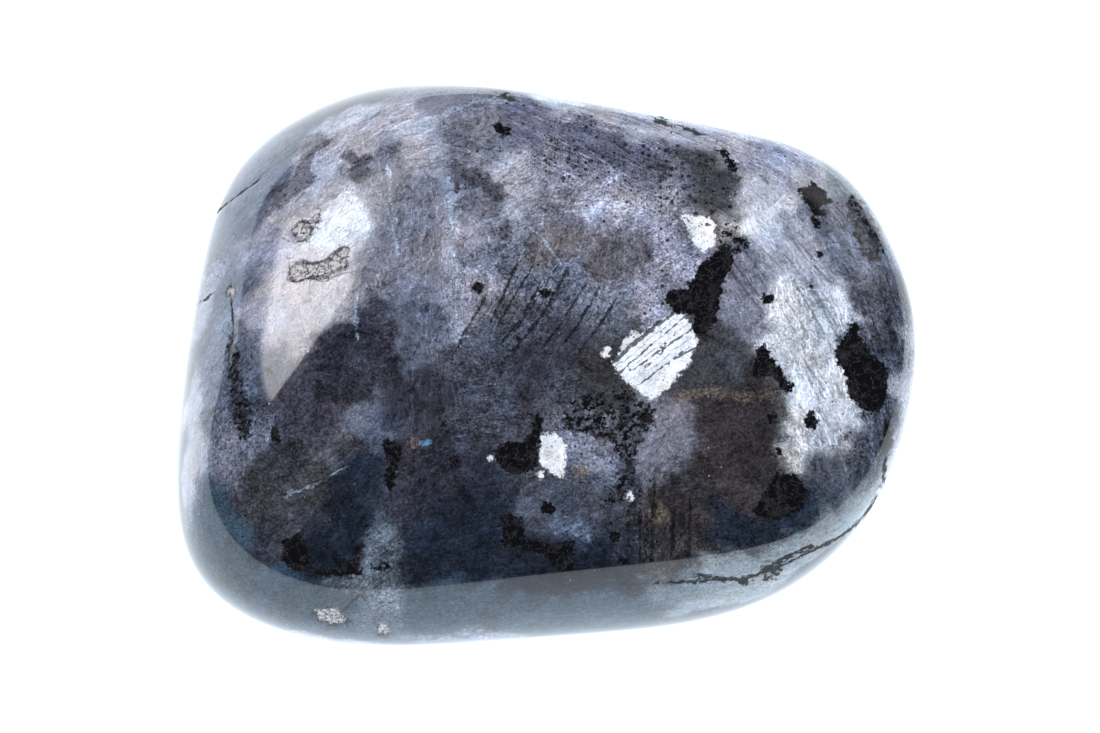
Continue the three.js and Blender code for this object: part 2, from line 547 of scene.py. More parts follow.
GRAINS = (
    # left sheen: the polish mirrors the window here, and the light grains add painted sheen to that
    # reflection
    Grain("left sheen", Feldspar.PAINTED_PINK_SHEEN, ((300, 205), (285, 290), (292, 340), (322, 300)),
          88, 0.3, 0.2, 0.15),
    Grain("left sheen, tip", Feldspar.SLATE, ((284, 358), (277, 380)), 80, 0.2, 0.7, 0.1, -0.2),
    Grain("left sheen, brightest", Feldspar.PAINTED_WHITE_SHEEN, ((343, 222),), 88, 0.5, 0.1, 0.0, -0.4),
    Grain("above the sheen", Feldspar.PALE_LAVENDER, ((345, 135), (385, 128), (420, 145)),
          20, 0.3, 0.4, 0.2),
    Grain("top left edge", Feldspar.SLATE, ((292, 128), (322, 108), (362, 98)), 30, 0.1, 0.2, 0.3, -0.3),
    Grain("top left edge, pale", Feldspar.GREY_LAVENDER, ((425, 112), (405, 95), (455, 100)),
          20, 0.15, 0.25, 0.3, -0.4),
    # painted sheen: the sheen's soft left edge, painted as a lighter grain
    Grain("left sheen, soft edge", Feldspar.LAVENDER, ((257, 255), (255, 305)), 85, 0.3, 0.3, 0.3, -0.4),
    Grain("left edge", Feldspar.BLUE_GREY, ((268, 158), (248, 205), (234, 285)), 60, 0.3, 0.4, 0.4),
    Grain("left edge, low", Feldspar.BLUE_GREY, ((236, 345), (232, 400)), 95, 0.4, 0.6, 0.5),
    Grain("streaked field", Feldspar.GREY_LAVENDER, ((395, 175), (400, 225), (415, 265), (388, 285)),
          91, 0.7, 0.3, 0.2, 0.3),
    Grain("streaked field, low", Feldspar.BLUE_GREY, ((425, 310), (418, 345)), 91, 0.7, 0.4, 0.2),
    Grain("streaked field, foot", Feldspar.SMOKE, ((405, 395), (440, 400)), 91, 0.7, 0.5, 0.3),
    Grain("left dark field", Feldspar.SMOKE, ((345, 345), (340, 395), (370, 370)), 70, 0.2, 0.9, 0.4, 0.6),
    Grain("left dark field, plum", Feldspar.PLUM_SMOKE, ((310, 410), (370, 330)), 60, 0.2, 0.8, 0.4),
    Grain("pale line's grain", Feldspar.LAVENDER, ((462, 240), (465, 300)), 92, 0.5, 0.5, 0.2),
    Grain("upper middle", Feldspar.GREY_LAVENDER, ((460, 130), (480, 215)), 30, 0.3, 0.5, 0.4, 0.0),
    Grain("upper middle, brown", Feldspar.PLUM, ((545, 128), (530, 112)), -25, 0.4, 0.5, 0.5),
    Grain("plum band", Feldspar.PLUM, ((585, 140), (620, 150), (655, 165)), -28, 0.8, 0.6, 0.75),
    Grain("plum band, darkest", Feldspar.GREY_LAVENDER, ((560, 160), (690, 180), (665, 178)),
          -28, 0.8, 0.7, 0.9, -0.5),
    Grain("plum band, edge", Feldspar.PALE_LAVENDER, ((600, 112), (655, 130), (700, 140)),
          -20, 0.35, 0.25, 0.4, -0.2),
    Grain("brown corner", Feldspar.BROWN_SLATE, ((725, 190), (700, 165)), -30, 0.5, 0.5, 0.7, 0.1),
    Grain("centre, pale", Feldspar.LAVENDER, ((540, 205), (590, 190), (640, 205)), 40, 0.3, 0.8, 0.5),
    Grain("centre, taupe", Feldspar.TAUPE, ((545, 240), (600, 235), (625, 255)), 75, 0.5, 0.6, 0.3),
    Grain("centre, grey", Feldspar.LAVENDER, ((660, 225), (640, 280), (672, 262)), 35, 0.3, 0.8, 0.6, -0.3),
    Grain("centre, blue", Feldspar.STEEL_BLUE, ((510, 270), (570, 290), (600, 315)), 57, 0.5, 0.9, 0.3),
    Grain("centre left, frosted", Feldspar.SLATE, ((500, 345), (490, 330)), 60, 0.4, 0.9, 0.3),
    Grain("centre, dark", Feldspar.SMOKE, ((545, 350), (575, 345), (530, 385)), 57, 0.6, 0.7, 0.3),
    Grain("centre, low", Feldspar.SLATE, ((490, 395), (560, 385), (470, 420)), 12, 0.5, 0.9, 0.3),
    Grain("by the white crystal", Feldspar.BROWN_SLATE, ((605, 335), (595, 365)), 40, 0.3, 0.6, 0.3),
    Grain("right of the dark crystal", Feldspar.GREY_LAVENDER, ((745, 275), (745, 320)),
          -70, 0.5, 0.5, 0.3),
    Grain("right of the white crystal", Feldspar.BROWN_SLATE, ((715, 350), (725, 375), (700, 385)),
          60, 0.3, 0.6, 0.3),
    # The right band's light grains are painted sheen: the schiller's flash painted into their colours, under
    # a faint real reflection of the side window.
    Grain("right band, top", Feldspar.PALE_LAVENDER, ((760, 195), (775, 235), (800, 260)),
          -62, 0.5, 0.25, 0.3),
    Grain("right band", Feldspar.PAINTED_WHITE_SHEEN, ((790, 300), (805, 340), (815, 375)),
          -82, 0.5, 0.4, 0.3, 0.3),
    Grain("right band, white streaks", Feldspar.PAINTED_BRIGHT_SHEEN, ((791, 408), (797, 432)),
          -84, 0.6, 0.4, 0.2, -0.2),
    Grain("right band, white top", Feldspar.PAINTED_BRIGHT_SHEEN, ((766, 200), (757, 213)),
          -60, 0.5, 0.2, 0.1, -0.2),
    Grain("right band, low", Feldspar.PAINTED_WHITE_SHEEN, ((824, 418), (818, 438)), -80, 0.5, 0.3, 0.3, 0.0),
    Grain("right band, foot", Feldspar.SLATE, ((830, 468), (812, 475)), -70, 0.5, 0.5, 0.4, -0.4),
    Grain("right edge", Feldspar.STEEL_BLUE, ((845, 225), (850, 265)), -65, 0.6, 0.5, 0.4),
    Grain("right shoulder", Feldspar.RIM_GREY, ((838, 178), (862, 205)), -60, 0.1, 0.25, 0.4, -0.3),
    Grain("right edge, dark", Feldspar.SLATE, ((878, 310), (872, 350), (868, 430)), -85, 0.8, 0.9, 0.5),
    Grain("upper right edge", Feldspar.LAVENDER, ((755, 150), (790, 165)), -35, 0.6, 0.4, 0.4),
    Grain("brown zone", Feldspar.BROWN_SMOKE, ((735, 420), (765, 440), (710, 410), (766, 408)),
          20, 0.3, 0.7, 0.3, 0.5),
    Grain("brown zone, low", Feldspar.BROWN_SMOKE, ((710, 475), (750, 480), (690, 500)), 15, 0.3, 0.8, 0.3),
    Grain("pale wedge", Feldspar.GREY_LAVENDER, ((678, 432), (668, 462)), 62, 0.4, 0.4, 0.2, 0.1),
    Grain("low right, blue", Feldspar.BLUE_BLACK, ((770, 505), (735, 525), (800, 490)), 10, 0.3, 0.8, 0.6),
    Grain("brown column", Feldspar.BROWN_SMOKE, ((668, 520), (690, 530), (672, 550)), 88, 0.7, 0.8, 0.5),
    Grain("blue between", Feldspar.BLUE_GREY, ((585, 480), (578, 520)), 30, 0.3, 0.8, 0.4, -0.1),
    Grain("beside the black heart", Feldspar.SLATE, ((560, 495), (590, 500), (530, 490)),
          40, 0.3, 0.7, 0.3),
    Grain("low middle", Feldspar.BLUE_BLACK, ((470, 520), (530, 570), (440, 550), (600, 560)),
          10, 0.2, 0.8, 0.4, 0.8),
    Grain("low middle, upper", Feldspar.SMOKE, ((430, 470), (460, 490), (420, 510)), 30, 0.3, 0.8, 0.3),
    Grain("brown grey grain", Feldspar.BROWN_SLATE, ((280, 480), (265, 515), (315, 465)),
          40, 0.3, 0.8, 0.3, 0.4),
    Grain("its pale edge", Feldspar.GREY_LAVENDER, ((246, 447), (236, 470), (238, 492)),
          80, 0.3, 0.8, 0.3, -0.9),
    Grain("its foot", Feldspar.SMOKE, ((262, 540), (310, 520)), 60, 0.3, 0.8, 0.3, -0.6),
    Grain("low left", Feldspar.BLUE_BLACK, ((330, 545), (345, 510), (355, 480)), 50, 0.2, 0.8, 0.4),
    Grain("grey ghost", Feldspar.BLUE_GREY, ((374, 406), (358, 436)), 50, 0.2, 0.6, 0.1, -0.2),
    Grain("diagonal ghost", Feldspar.BLUE_GREY, ((445, 410), (480, 398), (520, 384)),
          22, 1.0, 0.9, 0.2, -1.0),
    Grain("clear patch", Feldspar.SEA_GREY, ((382, 545), (380, 580), (372, 600)), 60, 0.3, 0.8, 0.4, -0.3),
    Grain("left strip", Feldspar.BLUE_GREY, ((243, 400), (250, 425)), 100, 0.3, 0.9, 0.8, -0.6),
    Grain("pale line's foot", Feldspar.LAVENDER, ((446, 300), (480, 300)), 95, 0.4, 0.7, 0.3, -0.2),
    Grain("centre, smoky fan", Feldspar.BROWN_GREY, ((560, 215), (585, 225)), 60, 0.7, 0.5, 0.3, -0.7),
    Grain("centre, light fan", Feldspar.PALE_LAVENDER, ((530, 195), (525, 215)), 35, 0.5, 0.4, 0.2, -0.3),
    Grain("above the white spot", Feldspar.PALE_LAVENDER, ((660, 200), (645, 190)),
          35, 0.5, 0.6, 0.8, -0.5),
    Grain("round brown grain", Feldspar.BROWN_SLATE, ((618, 520), (605, 545), (630, 550)),
          60, 0.2, 1.0, 0.9, -0.3),
    Grain("its dark heart", Feldspar.BLACK_GLASS, ((616, 538),), 60, 0.2, 1.0, 0.5, 0.0),
    Grain("pale crumbs", Feldspar.LAVENDER, ((643, 508), (652, 522)), 60, 0.1, 1.0, 0.6, -1.7),
    Grain("beside the white crystal", Feldspar.GREY_LAVENDER, ((578, 452), (583, 440)),
          60, 0.2, 0.9, 0.5, -0.8),
    Grain("front rim, left", Feldspar.TEAL_SLATE, ((240, 580), (300, 590), (350, 610)), 30, 0.1, 0.45, 0.3),
    Grain("front rim, middle", Feldspar.TEAL_SLATE, ((450, 605), (520, 615), (600, 605)),
          10, 0.1, 0.45, 0.3),
    Grain("front rim, pale block", Feldspar.SEA_GREY, ((672, 572), (655, 580)), 20, 0.1, 0.4, 0.2, -1.0),
    Grain("front rim, right", Feldspar.RIM_GREY, ((720, 575), (780, 560)), 20, 0.1, 0.35, 0.3),
    Grain("front rim, far right", Feldspar.RIM_GREY, ((815, 548), (840, 530)), 20, 0.08, 0.2, 0.2, -0.4),
    # right rim: partly painted reflection, a lighter colour along the edge, where the polish also mirrors the
    # pale floor
    Grain("right rim", Feldspar.PALE_LAVENDER, ((892, 470), (903, 400), (905, 330), (895, 250)),
          90, 0.1, 0.3, 0.4, -1.2),
    # left rim: partly painted reflection, a lighter colour along the edge, where the polish also mirrors the
    # pale floor
    Grain("left rim", Feldspar.PALE_LAVENDER, ((203, 300), (190, 400), (190, 480)),
          90, 0.05, 0.12, 0.3, -0.8),
    Grain("left rim, low", Feldspar.TEAL_SLATE, ((215, 520), (222, 550)), 70, 0.15, 0.45, 0.4),
    Grain("left rim, top", Feldspar.SEA_GREY, ((222, 195), (250, 150), (212, 245)),
          60, 0.05, 0.12, 0.3, -0.8),
    # back rim: partly painted reflection, lighter along the edge, where the polish also mirrors the floor
    Grain("back rim", Feldspar.PAINTED_WHITE_SHEEN, ((560, 100), (660, 118), (740, 142), (815, 168)),
          -20, 0.08, 0.15, 0.2, -0.8),
)


HIDDEN_MIX = (
    Feldspar.LAVENDER, Feldspar.GREY_LAVENDER, Feldspar.GREY_LAVENDER, Feldspar.BLUE_GREY, Feldspar.BLUE_GREY,
    Feldspar.SLATE, Feldspar.SLATE, Feldspar.SLATE, Feldspar.SMOKE, Feldspar.SMOKE, Feldspar.BROWN_SMOKE,
    Feldspar.PLUM_SMOKE, Feldspar.BLUE_BLACK, Feldspar.BLUE_BLACK, Feldspar.PLUM, Feldspar.TAUPE,
    Feldspar.BROWN_GREY, Feldspar.BROWN_SLATE, Feldspar.DEEP_BLUE, Feldspar.STEEL_BLUE,
)


class Inclusion(Enum):
    """What lies in or on the feldspar. The value names its field on the mesh."""

    BLACK = "black_mm"
    SMOKY = "smoky_mm"
    PEPPERED = "peppered_mm"
    WHITE = "white_mm"
    RUST = "rust_mm"
    # painted sheen: a spot of the schiller's blue flash, painted on
    FLASH = "painted_flash_mm"
    PIT = "pit_mm"
    DARK_LINE = "dark_line"
    PALE_LINE = "pale_line"
    CRACK = "crack"


@dataclass(frozen=True)
class Dot:
    """A round spot on the stone: its middle and its radius, in the photograph's pixels."""

    middle: Pixel
    radius: float


@dataclass(frozen=True)
class Line:
    """A line on the stone: its points and its half width, in the photograph's pixels."""

    points: Outline
    half_width: float


PATCHES: dict[Inclusion, tuple[Outline, ...]] = {
    Inclusion.BLACK: (
        ((717, 147), (724, 147), (729, 156), (739, 168), (737, 174), (729, 167), (722, 156)),
        ((797, 187), (804, 188), (812, 181), (826, 192), (833, 201), (822, 206), (828, 217), (816, 215),
         (822, 231), (817, 229), (810, 222), (814, 215), (806, 204)),
        ((717, 249), (731, 247), (733, 265), (724, 279), (720, 299), (717, 320), (703, 340), (692, 328),
         (695, 315), (676, 313), (665, 301), (667, 292), (685, 288), (699, 267)),
        ((763, 290), (776, 297), (772, 304), (763, 304)),
        ((756, 351), (765, 342), (772, 359), (781, 364), (783, 375), (792, 384), (792, 394), (779, 389),
         (772, 376), (756, 378), (750, 369), (756, 360)),
        ((835, 348), (845, 339), (850, 322), (857, 318), (861, 341), (870, 350), (886, 366), (888, 389),
         (881, 410), (869, 414), (847, 396), (847, 380), (836, 360)),
        ((803, 414), (811, 409), (819, 418), (817, 430), (808, 430)),
        ((886, 416), (892, 426), (894, 444), (886, 459), (880, 455), (883, 434)),
        ((765, 491), (776, 473), (797, 475), (809, 491), (806, 504), (788, 518), (765, 522), (752, 512)),
        ((492, 449), (507, 442), (523, 441), (534, 423), (523, 415), (545, 415), (540, 432), (539, 465),
         (532, 472), (515, 475), (501, 468)),
        ((498, 516), (511, 514), (524, 518), (521, 530), (530, 539), (547, 543), (574, 541), (575, 576),
         (559, 572), (547, 557), (534, 551), (522, 547), (498, 545), (505, 533)),
        ((542, 503), (553, 503), (557, 512), (549, 514), (542, 511)),
        ((639, 411), (653, 411), (653, 424), (641, 422)),
        ((284, 540), (301, 531), (307, 544), (311, 567), (343, 571), (356, 554), (362, 575), (340, 576),
         (315, 575), (290, 569), (282, 561)),
        ((270, 428), (277, 424), (282, 440), (276, 443), (270, 436)),
        ((388, 440), (405, 452), (399, 459), (395, 485), (387, 495), (385, 473), (391, 465), (385, 455),
         (382, 442)),
        ((490, 125), (500, 123), (513, 131), (509, 136), (500, 136), (493, 131)),
    ),
    Inclusion.PEPPERED: (
        ((724, 226), (737, 226), (748, 242), (745, 251), (730, 252), (716, 250)),
        ((565, 407), (591, 392), (630, 392), (653, 407), (655, 423), (645, 434), (636, 453), (636, 482),
         (626, 501), (601, 505), (616, 484), (624, 463), (610, 442), (584, 434), (563, 432)),
        ((229, 330), (237, 345), (242, 380), (252, 415), (250, 440), (240, 443), (231, 408), (227, 368)),
        ((847, 200), (853, 193), (865, 205), (877, 225), (882, 250), (877, 262), (864, 258), (856, 240),
         (850, 220)),
    ),
    Inclusion.SMOKY: (
        ((309, 136), (319, 131), (333, 141), (316, 153), (309, 170), (319, 178), (301, 193), (283, 206),
         (266, 219), (266, 211), (276, 199), (263, 201), (273, 186), (291, 178), (299, 163), (299, 151)),
        ((339, 156), (349, 149), (359, 158), (372, 155), (366, 168), (384, 170), (374, 176), (359, 184),
         (346, 176), (355, 165), (344, 160)),
        ((384, 151), (392, 145), (400, 151), (392, 156)),
        ((450, 170), (456, 160), (466, 166), (480, 170), (493, 180), (503, 186), (506, 199), (495, 203),
         (486, 189), (473, 186), (463, 183), (455, 193)),
        ((498, 229), (508, 221), (513, 229), (510, 243), (500, 238)),
    ),
    Inclusion.WHITE: (
        ((681, 215), (694, 215), (711, 219), (716, 226), (713, 249), (701, 251), (692, 238), (685, 226)),
        ((612, 365), (626, 338), (635, 329), (639, 336), (668, 315), (681, 313), (690, 322), (698, 340),
         (692, 358), (683, 371), (667, 389), (650, 401), (640, 392), (632, 385), (622, 378)),
        ((540, 434), (559, 434), (567, 449), (565, 472), (559, 478), (547, 470), (538, 463)),
    ),
    Inclusion.RUST: (
        ((674, 396), (685, 389), (700, 386), (722, 392), (740, 393), (774, 395), (772, 400), (738, 399),
         (715, 395), (695, 394), (683, 400)),
    ),
    Inclusion.PIT: (
        ((290, 268), (299, 262), (312, 264), (322, 262), (331, 258), (341, 248), (349, 250), (345, 258),
         (347, 267), (333, 270), (327, 277), (313, 275), (301, 280), (291, 277)),
        ((314, 610), (334, 608), (348, 620), (336, 625), (319, 620)),
    ),
}

DOTS: dict[Inclusion, tuple[Dot, ...]] = {
    Inclusion.PIT: (
        Dot((303, 230), 8),
        Dot((316, 218), 3),
        Dot((231, 291), 4),
        Dot((383, 630), 6),
    ),
    Inclusion.BLACK: (
        Dot((774, 237), 2.5),
        Dot((819, 254), 3),
        Dot((810, 287), 3),
        Dot((799, 289), 2),
        Dot((779, 451), 4),
        Dot((772, 418), 5),
        Dot((663, 345), 3),
        Dot((478, 287), 6),
        Dot((545, 292), 5),
        Dot((455, 462), 6),
        Dot((444, 425), 3),
        Dot((360, 548), 5),
        Dot((364, 525), 3),
        Dot((373, 568), 3),
        Dot((384, 567), 4),
        Dot((623, 562), 5),
        Dot((615, 537), 6),
        Dot((268, 371), 4),
    ),
    Inclusion.WHITE: (
        Dot((491, 459), 3.5),
        Dot((607, 352), 5),
        Dot((541, 476), 4),
        Dot((629, 495), 5),
    ),
    Inclusion.RUST: (
        Dot((580, 470), 9),
        Dot((637, 387), 7),
        Dot((660, 515), 9),
        Dot((413, 442), 4),
    ),
    # painted sheen: where the blue flash of schiller is painted
    Inclusion.FLASH: (
        Dot((425, 443), 4.5),
    ),
}

LINES: dict[Inclusion, tuple[Line, ...]] = {
    Inclusion.DARK_LINE: (
        Line(((290, 263), (300, 262), (312, 264), (322, 262), (331, 255), (341, 249), (348, 248)), 1.2),
        Line(((348, 248), (345, 257), (348, 266), (335, 270), (321, 272), (306, 277), (292, 282)), 1.2),
        Line(((293, 281), (290, 272), (289, 262)), 1.3),
        Line(((300, 263), (304, 272), (309, 267), (317, 273), (322, 264), (330, 268), (338, 254)), 0.9),
        Line(((333, 266), (341, 261), (346, 253)), 0.9),
        Line(((296, 226), (300, 222), (307, 223), (311, 229), (308, 236), (301, 238), (296, 234),
              (296, 226)), 1.6),
        Line(((299, 228), (305, 231), (301, 235), (307, 234)), 1.3),
        Line(((309, 225), (314, 220), (318, 221), (319, 214)), 1.1),
        Line(((284, 239), (294, 243), (304, 240)), 0.7),
        Line(((312, 279), (324, 282), (338, 275), (350, 272)), 0.7),
        Line(((314, 612), (326, 616), (336, 612), (348, 620), (335, 624), (322, 618), (314, 612)), 1.2),
        Line(((326, 621), (340, 617), (346, 608), (356, 598)), 0.8),
        Line(((378, 626), (386, 631), (380, 635)), 1.1),
        Line(((517, 262), (503, 296), (490, 323)), 1.2),
        Line(((566, 272), (545, 312), (507, 358)), 1.4),
        Line(((541, 282), (522, 318), (500, 345)), 1.0),
        Line(((597, 292), (578, 325), (562, 345)), 1.0),
        Line(((521, 340), (512, 353)), 3.0),
        Line(((654, 480), (653, 540), (650, 560)), 1.6),
        Line(((674, 500), (672, 552)), 1.2),
        Line(((624, 350), (660, 322)), 0.8),
        Line(((612, 362), (672, 314)), 1.0),
        Line(((633, 370), (696, 326)), 0.7),
        Line(((655, 372), (692, 346)), 0.9),
        Line(((648, 366), (662, 353)), 0.6),
        Line(((618, 374), (650, 346), (684, 318)), 0.7),
        Line(((640, 384), (672, 360), (695, 348)), 0.6),
        Line(((484, 300), (466, 330), (455, 352)), 0.9),
        Line(((532, 268), (512, 300), (498, 326)), 0.8),
        Line(((616, 300), (596, 330), (580, 350)), 0.9),
        Line(((556, 268), (530, 310), (515, 332)), 0.7),
        Line(((585, 285), (560, 325), (545, 345)), 0.8),
        Line(((690, 500), (689, 560)), 0.9),
        Line(((640, 515), (640, 565)), 0.9),
    ),
    Inclusion.PALE_LINE: (
        Line(((450, 185), (453, 240), (455, 290), (459, 335)), 4.5),
        Line(((388, 172), (393, 215), (398, 255)), 1.5),
        Line(((458, 228), (470, 228), (492, 219)), 0.8),
        Line(((520, 178), (560, 190), (600, 196), (645, 214)), 0.7),
        Line(((532, 216), (580, 210), (632, 211)), 0.8),
        Line(((500, 205), (540, 235), (560, 262)), 0.7),
        Line(((428, 140), (470, 152), (520, 172)), 0.7),
        Line(((290, 494), (312, 486), (338, 472)), 1.6),
        Line(((417, 130), (450, 112), (480, 100), (516, 100)), 1.8),
        Line(((356, 285), (356, 335)), 1.4),
    ),
    # The cracks are sunk a little into the mesh and painted near black, partly as painted shade in their
    # hollows.
    Inclusion.CRACK: (
        Line(((658, 583), (699, 582), (720, 578), (741, 580), (769, 571), (790, 562), (819, 548),
              (844, 535), (855, 526), (870, 509), (880, 499), (894, 476), (897, 466)), 1.0),
        Line(((700, 576), (712, 578), (726, 581)), 1.2),
        Line(((780, 560), (800, 551), (812, 546)), 1.0),
        Line(((766, 573), (777, 567)), 4.0),
        Line(((741, 581), (749, 578)), 2.6),
        Line(((874, 506), (880, 499)), 2.6),
        Line(((886, 459), (884, 482)), 1.2),
        Line(((206, 229), (211, 219), (223, 206), (236, 196), (253, 184), (260, 178)), 0.5),
        Line(((231, 287), (233, 330), (233, 338), (229, 352), (228, 372)), 0.6),
        Line(((204, 300), (211, 294)), 0.9),
        Line(((658, 120), (666, 124)), 2.2),
        Line(((684, 127), (698, 133)), 1.6),
        Line(((502, 95), (512, 99)), 2.0),
    ),
}


@dataclass(frozen=True)
class Start:
    """Where a grain starts on the stone, and what it looks like from there on."""

    place: np.ndarray
    tint: tuple[float, ...]
    axis: np.ndarray
    traits: tuple[float, float, float]
    spread: float


@dataclass
class Minerals:
    """Lays the grains and inclusions over the stone, as fields on its mesh, and sinks the pits.

    seed draws the hidden grains, and edge_seed the ragged edges in which grains meet. A bend is a
    pitch per mm and a reach. blend is how softly grains meet, and far is the distance that is kept
    where no inclusion is near. Lengths are in mm.
    """

    view: PhotoView
    seed: int = 11
    hidden_grains: int = 110
    blend: float = 0.28
    far: float = 9.0
    edge_seed: int = 13
    bends: tuple[tuple[float, float], ...] = ((0.22, 1.0), (0.55, 1.0), (1.3, 0.5), (2.6, 0.2))
    pit_depth: float = 0.16
    pit_edge: float = 0.3
    crack_depth: float = 0.03
    points: np.ndarray = field(init=False)
    normals: np.ndarray = field(init=False)
    pixels: np.ndarray = field(init=False)
    facing: np.ndarray = field(init=False)

    def dress(self, piece: bpy.types.Object) -> None:
        """Writes every field on the stone's mesh and sinks its pits and cracks.

        Args:
            piece: the stone, a plain mesh in metres.
        """
        mesh = piece.data
        self.points = self._read(mesh, "co") / MM
        self.normals = self._read(mesh, "normal")
        self.pixels = self.view.pixels(self.points)
        self.facing = self.view.facing(self.points, self.normals)
        self._grains(mesh)
        gaps = self._inclusions(mesh)
        self._number(mesh, "hidden", 1.0 - smooth(0.0, 0.22, self.facing))
        self._sink(mesh, gaps)

    def _read(self, mesh: bpy.types.Mesh, name: str) -> np.ndarray:
        """Reads one vector of each vertex.

        Args:
            mesh: the mesh.
            name: the vertices' property.

        Returns:
            A row for each vertex.
        """
        values = np.empty(len(mesh.vertices) * 3)
        mesh.vertices.foreach_get(name, values)
        return values.reshape(-1, 3)

    def _number(self, mesh: bpy.types.Mesh, name: str, values: np.ndarray) -> None:
        """Stores one number for each vertex."""
        mesh.attributes.new(name, "FLOAT", "POINT").data.foreach_set("value", values.astype(np.float32))

    def _triple(self, mesh: bpy.types.Mesh, name: str, values: np.ndarray) -> None:
        """Stores one vector for each vertex."""
        data = mesh.attributes.new(name, "FLOAT_VECTOR", "POINT").data
        data.foreach_set("vector", values.astype(np.float32).ravel())

    def _spot(self, pixel: Pixel) -> np.ndarray:
        """Finds a place on the stone.

        Args:
            pixel: where the photograph shows it.

        Returns:
            The place, in mm.
        """
        gap = np.hypot(*(self.pixels - np.array(pixel)).T)
        gap[self.facing < 0.03] = np.inf
        return self.points[int(np.argmin(gap))]

    def _warped(self) -> np.ndarray:
        """Moves each place a little, so that the grains meet in ragged edges.

        Returns:
            The moved places, in mm.
        """
        noise.seed_set(self.edge_seed)
        moved = self.points.copy()
        for pitch, reach in self.bends:
            moved += reach * np.array([noise.noise_vector(Vector(p) * pitch) for p in self.points])
        return moved

    def _seen_starts(self) -> list[Start]:
        """Where the photograph's grains start.

        Returns:
            A start for each spot of each grain.
        """
        starts = []
        for grain in GRAINS:
            slant = math.radians(grain.slant)
            axis = math.cos(slant) * self.view.right + math.sin(slant) * self.view.up
            traits = (grain.streak, grain.mottle, grain.specks)
            starts += [Start(self._spot(pixel), linear(grain.colour.value), axis, traits, grain.spread)
                       for pixel in grain.spots]
        return starts

    def _hidden_starts(self) -> list[Start]:
        """Where grains start on the sides that the photograph doesn't show.

        Returns:
            A start for each grain, from the fixed seed.
        """
        chance = np.random.default_rng(self.seed)
        unseen = np.flatnonzero(self.facing < 0.2)
        starts = []
        for _ in range(self.hidden_grains):
            place = self.points[chance.choice(unseen)]
            tint = linear(HIDDEN_MIX[chance.integers(len(HIDDEN_MIX))].value)
            axis = chance.normal(size=3)
            traits = (chance.uniform(0.2, 0.8), chance.uniform(0.3, 0.7), chance.uniform(0.2, 0.7))
            starts.append(Start(place, tint, axis / np.linalg.norm(axis), traits, chance.uniform(-0.5, 0.8)))
        return starts

    def _grains(self, mesh: bpy.types.Mesh) -> None:
        """Gives each vertex its grain's colour, lamella direction and texture strengths.

        Args:
            mesh: the mesh that keeps the fields.
        """
        starts = self._seen_starts() + self._hidden_starts()
        spots = np.array([start.place for start in starts])
        gaps = np.linalg.norm(self._warped()[:, None, :] - spots[None, :, :], axis=2)
        gaps -= np.array([start.spread for start in starts])
        gaps -= gaps.min(axis=1, keepdims=True)
        shares = np.exp(-gaps / self.blend)
        shares /= shares.sum(axis=1, keepdims=True)
        # the grains' colours, with the painted sheen of the sheen grains in them
        self._triple(mesh, "grain_colour_and_sheen", shares @ np.array([start.tint for start in starts]))
        self._triple(mesh, "grain_axis", np.array([start.axis for start in starts])[shares.argmax(axis=1)])
        self._triple(mesh, "grain_traits", shares @ np.array([start.traits for start in starts]))

    def _segment_gap(self, start: np.ndarray, end: np.ndarray) -> np.ndarray:
        """Distances to a straight stretch.

        Args:
            start: the stretch's first pixel.
            end: its last pixel.

        Returns:
            Each vertex's distance in pixels.
        """
        run = end - start
        along = np.clip((self.pixels - start) @ run / (run @ run), 0.0, 1.0)
        return np.linalg.norm(self.pixels - start - along[:, None] * run, axis=1)

    def _outline_gap(self, outline: Outline) -> np.ndarray:
        """Signed distances to a closed outline.

        Args:
            outline: the outline's corners.

        Returns:
            Each vertex's distance in pixels, below 0 inside.
        """
        corners = np.array(outline)
        inside = np.zeros(len(self.pixels), dtype=bool)
        gap = np.full(len(self.pixels), np.inf)
        for start, end in zip(corners, np.roll(corners, -1, axis=0)):
            gap = np.minimum(gap, self._segment_gap(start, end))
            crosses = (start[1] > self.pixels[:, 1]) != (end[1] > self.pixels[:, 1])
            slope = (end[0] - start[0]) / ((end[1] - start[1]) or 1.0)
            inside ^= crosses & (self.pixels[:, 0] < start[0] + slope * (self.pixels[:, 1] - start[1]))
        return np.where(inside, -gap, gap)

    def _line_gap(self, mesh: bpy.types.Mesh, kind: Inclusion) -> np.ndarray:
        """Stores how far across a line each vertex lies, and whether it is beside one.

        The distance across has a sign, so that a line far thinner than the mesh stays whole.

        Args:
            mesh: the mesh that keeps the fields.
            kind: the kind of line.

        Returns:
            Each vertex's distance in mm to the nearest line's edge.
        """
        gap = np.full(len(self.pixels), np.inf)
        across = np.zeros(len(self.pixels))
        for line in LINES[kind]:
            for start, end in zip(np.array(line.points), np.array(line.points[1:])):
                run = end - start
                seen = self.pixels - start
                side = (run[0] * seen[:, 1] - run[1] * seen[:, 0]) / np.linalg.norm(run)
                away = self._segment_gap(start, end)
                nearer = away - line.half_width < gap
                gap = np.where(nearer, away - line.half_width, gap)
                signed = np.where(side < 0, -away, away) / line.half_width
                across = np.where(nearer, signed, across)
        reach = gap / self.view.pixels_per_mm
        near = (1.0 - smooth(0.3, 0.55, reach)) * smooth(0.03, 0.1, self.facing)
        self._number(mesh, kind.value, across)
        self._number(mesh, kind.value + "_near", near)
        return reach

